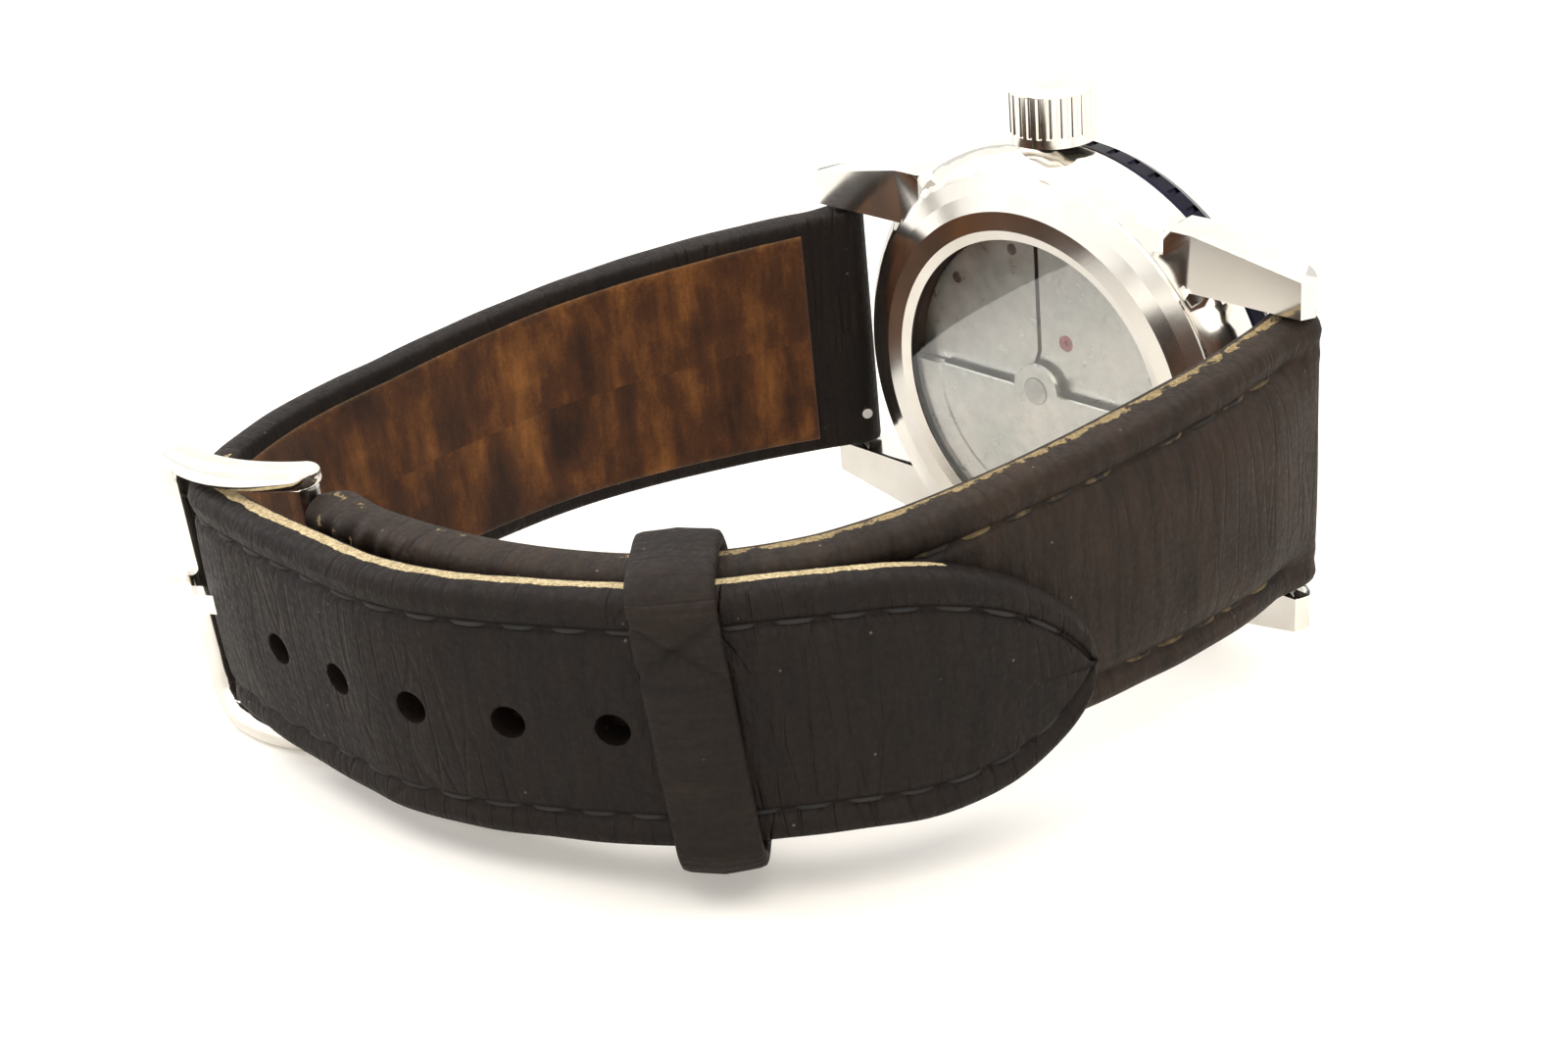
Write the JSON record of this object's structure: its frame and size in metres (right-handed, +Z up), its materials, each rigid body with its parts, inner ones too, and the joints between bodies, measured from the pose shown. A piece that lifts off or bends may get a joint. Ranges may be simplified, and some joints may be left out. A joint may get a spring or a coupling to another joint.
{
  "type": "wristwatch",
  "caption": "Automatic wristwatch lying on its side: round steel case with glazed back, fluted crown, dark turning bezel and a buckled padded leather strap.",
  "frame": {"origin": "middle of the base of the resting watch", "axes": "+Z up from the surface it lies on, along the crown's side; +Y from the buckle to the dial; +X to the 12 o'clock lugs"},
  "size_m": [0.0592, 0.0712, 0.0438],
  "materials": {
    "polished_steel": "polished",
    "case_steel": "polished",
    "bezel_black": "satin black coating",
    "insert_black": "anodised",
    "sapphire": "clear",
    "seal_rubber": "matte",
    "dial_white": "lacquered",
    "hand_steel": "polished",
    "movement_nickel": "striped nickel plating",
    "train_brass": "gilt",
    "movement_steel": "ground",
    "spring_steel": "blued",
    "ruby": "polished",
    "holder_plastic": "moulded",
    "strap_leather": "waxed grain",
    "lining_leather": "worn suede lining"
  },
  "bodies": {
    "watch_body": {"case_middle": "case_steel", "crown_tube": "case_steel", "caseback_ring": "case_steel", "caseback_glass": "sapphire", "caseback_gasket": "seal_rubber", "crystal": "sapphire", "crystal_gasket": "seal_rubber", "rehaut_ring": "movement_steel", "movement_ring": "holder_plastic", "main_plate": "movement_nickel", "barrel_bridge": "movement_nickel", "train_bridge": "movement_nickel", "balance_cock": "movement_nickel", "bridge_screws": "movement_steel", "train_jewels": "ruby", "plate_jewels": "ruby", "rotor_bearing": "movement_steel", "dial": "dial_white", "hour_markers": "hand_steel", "strap_short_top": "strap_leather", "strap_short_lining": "lining_leather", "strap_long_top": "strap_leather", "strap_long_lining": "lining_leather", "lug_bar_12": "movement_steel", "lug_bar_6": "movement_steel"},
    "bezel_group": {"bezel": "bezel_black", "bezel_insert": "insert_black"},
    "setting_group": {"setting_lever": "movement_steel"},
    "crown_group": {"crown": "case_steel", "crown_gasket": "seal_rubber", "stem": "movement_steel"},
    "rotor_group": {"rotor": "movement_nickel"},
    "seconds_group": {"fourth_wheel": "train_brass", "second_hand": "hand_steel"},
    "third_group": {"third_wheel": "train_brass"},
    "minutes_group": {"centre_wheel": "train_brass", "cannon_pinion": "movement_steel", "minute_hand": "hand_steel"},
    "barrel_group": {"barrel": "train_brass", "mainspring": "spring_steel"},
    "escape_group": {"escape_wheel": "movement_steel"},
    "minute_wheel_group": {"minute_wheel": "train_brass"},
    "hours_group": {"hour_wheel": "train_brass", "hour_hand": "hand_steel"},
    "pallet_group": {"pallet_fork": "movement_steel"},
    "balance_group": {"balance_wheel": "train_brass", "hairspring": "spring_steel"},
    "keeper_group": {"keeper": "strap_leather"},
    "buckle_group": {"buckle_frame": "polished_steel", "buckle_bar": "movement_steel"},
    "tongue_group": {"buckle_tongue": "polished_steel"},
    "release_12_group": {"quick_release_12": "movement_steel"},
    "release_6_group": {"quick_release_6": "movement_steel"}
  },
  "joints": [
    {"name": "bezel_turn", "type": "hinge", "parent": "watch_body", "child": "bezel_group", "pos_m": [0.00387, 0.02873, 0.01939], "axis": [0, 0.9912, 0.1325], "continuous": true},
    {"name": "crown_pull", "type": "slide", "parent": "watch_body", "child": "setting_group", "axis": [0, -0.1325, 0.9912], "range_m": [0, 0.0014]},
    {"name": "crown_turn", "type": "hinge", "parent": "setting_group", "child": "crown_group", "pos_m": [0.00387, 0.02684, 0.04032], "axis": [0, -0.1325, 0.9912], "continuous": true},
    {"name": "rotor_spin", "type": "hinge", "parent": "watch_body", "child": "rotor_group", "pos_m": [0.00387, 0.02873, 0.01939], "axis": [0, 0.9912, 0.1325], "continuous": true},
    {"name": "seconds_run", "type": "hinge", "parent": "watch_body", "child": "seconds_group", "pos_m": [0.00387, 0.02873, 0.01939], "axis": [0, -0.9912, -0.1325], "continuous": true},
    {"name": "third_run", "type": "hinge", "parent": "watch_body", "child": "third_group", "pos_m": [0.00634, 0.02816, 0.02364], "axis": [0, -0.9912, -0.1325], "continuous": true},
    {"name": "minutes_run", "type": "hinge", "parent": "watch_body", "child": "minutes_group", "pos_m": [0.00387, 0.02873, 0.01939], "axis": [0, -0.9912, -0.1325], "continuous": true},
    {"name": "barrel_run", "type": "hinge", "parent": "watch_body", "child": "barrel_group", "pos_m": [-0.002, 0.02901, 0.01727], "axis": [0, -0.9912, -0.1325], "continuous": true},
    {"name": "escape_run", "type": "hinge", "parent": "watch_body", "child": "escape_group", "pos_m": [0.00813, 0.02906, 0.01694], "axis": [0, -0.9912, -0.1325], "continuous": true},
    {"name": "minute_wheel_run", "type": "hinge", "parent": "watch_body", "child": "minute_wheel_group", "pos_m": [0.00332, 0.02832, 0.02243], "axis": [0, -0.9912, -0.1325], "continuous": true},
    {"name": "hours_run", "type": "hinge", "parent": "watch_body", "child": "hours_group", "pos_m": [0.00387, 0.02873, 0.01939], "axis": [0, -0.9912, -0.1325], "continuous": true},
    {"name": "pallet_rock", "type": "hinge", "parent": "watch_body", "child": "pallet_group", "pos_m": [0.0081, 0.0294, 0.01437], "axis": [0, -0.9912, -0.1325], "range_deg": [-5, 5]},
    {"name": "balance_swing", "type": "hinge", "parent": "watch_body", "child": "balance_group", "pos_m": [0.00807, 0.02979, 0.01146], "axis": [0, -0.9912, -0.1325], "range_deg": [-270, 270]},
    {"name": "keeper_slide", "type": "hinge", "parent": "watch_body", "child": "keeper_group", "pos_m": [0.00001, -0.00254, 0.01521], "axis": [0, -0.1325, 0.9912], "range_deg": [-7, 7]},
    {"name": "buckle_lift", "type": "hinge", "parent": "watch_body", "child": "buckle_group", "pos_m": [-0.01264, -0.0278, 0.01183], "axis": [0, -0.1325, 0.9912], "range_deg": [0, 3]},
    {"name": "tongue_lift", "type": "hinge", "parent": "buckle_group", "child": "tongue_group", "pos_m": [-0.01264, -0.0278, 0.01183], "axis": [0, -0.1325, 0.9912], "range_deg": [0, 4]},
    {"name": "release_12_slide", "type": "slide", "parent": "watch_body", "child": "release_12_group", "axis": [0, -0.1325, 0.9912], "range_m": [0, 0.0012], "stiffness_N_per_m": 100},
    {"name": "release_6_slide", "type": "slide", "parent": "watch_body", "child": "release_6_group", "axis": [0, -0.1325, 0.9912], "range_m": [0, 0.0012], "stiffness_N_per_m": 100}
  ],
  "couplings": [
    {"joint": "third_run", "follows": "seconds_run", "ratio": -0.13333},
    {"joint": "minutes_run", "follows": "seconds_run", "ratio": 0.016667},
    {"joint": "barrel_run", "follows": "seconds_run", "ratio": -0.002381},
    {"joint": "escape_run", "follows": "seconds_run", "ratio": -10},
    {"joint": "minute_wheel_run", "follows": "seconds_run", "ratio": -0.0055556},
    {"joint": "hours_run", "follows": "seconds_run", "ratio": 0.0013889}
  ]
}
